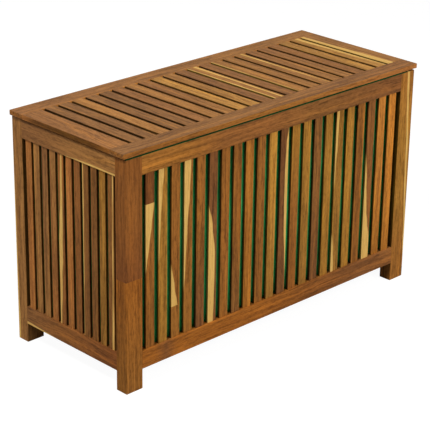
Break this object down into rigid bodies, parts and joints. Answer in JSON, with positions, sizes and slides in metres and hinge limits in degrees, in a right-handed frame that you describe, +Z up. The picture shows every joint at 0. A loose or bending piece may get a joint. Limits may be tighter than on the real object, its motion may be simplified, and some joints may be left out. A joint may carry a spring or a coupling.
{
  "type": "deck storage box",
  "caption": "Slatted wooden garden box on four post legs, with a slatted lid hinged at the back and a cloth liner that keeps cushions and tools dry.",
  "frame": {"origin": "on the floor, under the middle of the box", "axes": "+X along the length, to the right as seen from the front; +Y towards the hinged back; +Z up"},
  "size_m": [1.119, 0.4605, 0.6668],
  "materials": {
    "oiled_wood": "oiled acacia, satin, strong grain with pale sapwood",
    "inner_wood": "sawn and lightly oiled battens",
    "liner_cloth": "green woven cloth with a waterproof coating",
    "zinc_steel": "zinc plated"
  },
  "bodies": {
    "box": {"back_bottom_rail": "oiled_wood", "back_slats": "oiled_wood", "back_top_rail": "oiled_wood", "batten_screws": "zinc_steel", "corner_bracket_screws": "zinc_steel", "corner_brackets": "zinc_steel", "floor_back_batten": "inner_wood", "floor_front_batten": "inner_wood", "floor_left_batten": "inner_wood", "floor_right_batten": "inner_wood", "floor_screws": "zinc_steel", "floor_slats": "inner_wood", "front_bottom_rail": "oiled_wood", "front_slats": "oiled_wood", "front_top_rail": "oiled_wood", "hinge_body_screws": "zinc_steel", "hinge_left_body_leaf": "zinc_steel", "hinge_left_pin": "zinc_steel", "hinge_middle_body_leaf": "zinc_steel", "hinge_middle_pin": "zinc_steel", "hinge_right_body_leaf": "zinc_steel", "hinge_right_pin": "zinc_steel", "left_bottom_rail": "oiled_wood", "left_slats": "oiled_wood", "left_top_rail": "oiled_wood", "liner_back_hem": "liner_cloth", "liner_back_panel": "liner_cloth", "liner_base": "liner_cloth", "liner_corner_tucks": "liner_cloth", "liner_front_hem": "liner_cloth", "liner_front_panel": "liner_cloth", "liner_left_hem": "liner_cloth", "liner_left_panel": "liner_cloth", "liner_right_hem": "liner_cloth", "liner_right_panel": "liner_cloth", "liner_tacks": "zinc_steel", "post_back_left": "oiled_wood", "post_back_right": "oiled_wood", "post_front_left": "oiled_wood", "post_front_right": "oiled_wood", "right_bottom_rail": "oiled_wood", "right_slats": "oiled_wood", "right_top_rail": "oiled_wood"},
    "lid": {"hinge_left_lid_leaf": "zinc_steel", "hinge_lid_screws": "zinc_steel", "hinge_middle_lid_leaf": "zinc_steel", "hinge_right_lid_leaf": "zinc_steel", "lid_back_batten": "inner_wood", "lid_back_rail": "oiled_wood", "lid_batten_screws": "zinc_steel", "lid_front_batten": "inner_wood", "lid_front_rail": "oiled_wood", "lid_left_board": "oiled_wood", "lid_right_board": "oiled_wood", "lid_slats": "oiled_wood"}
  },
  "joints": [
    {"name": "lid_hinge", "type": "hinge", "parent": "box", "child": "lid", "pos_m": [0, 0.2295, 0.6504], "axis": [-1, 0, 0], "range_deg": [0, 100]}
  ]
}
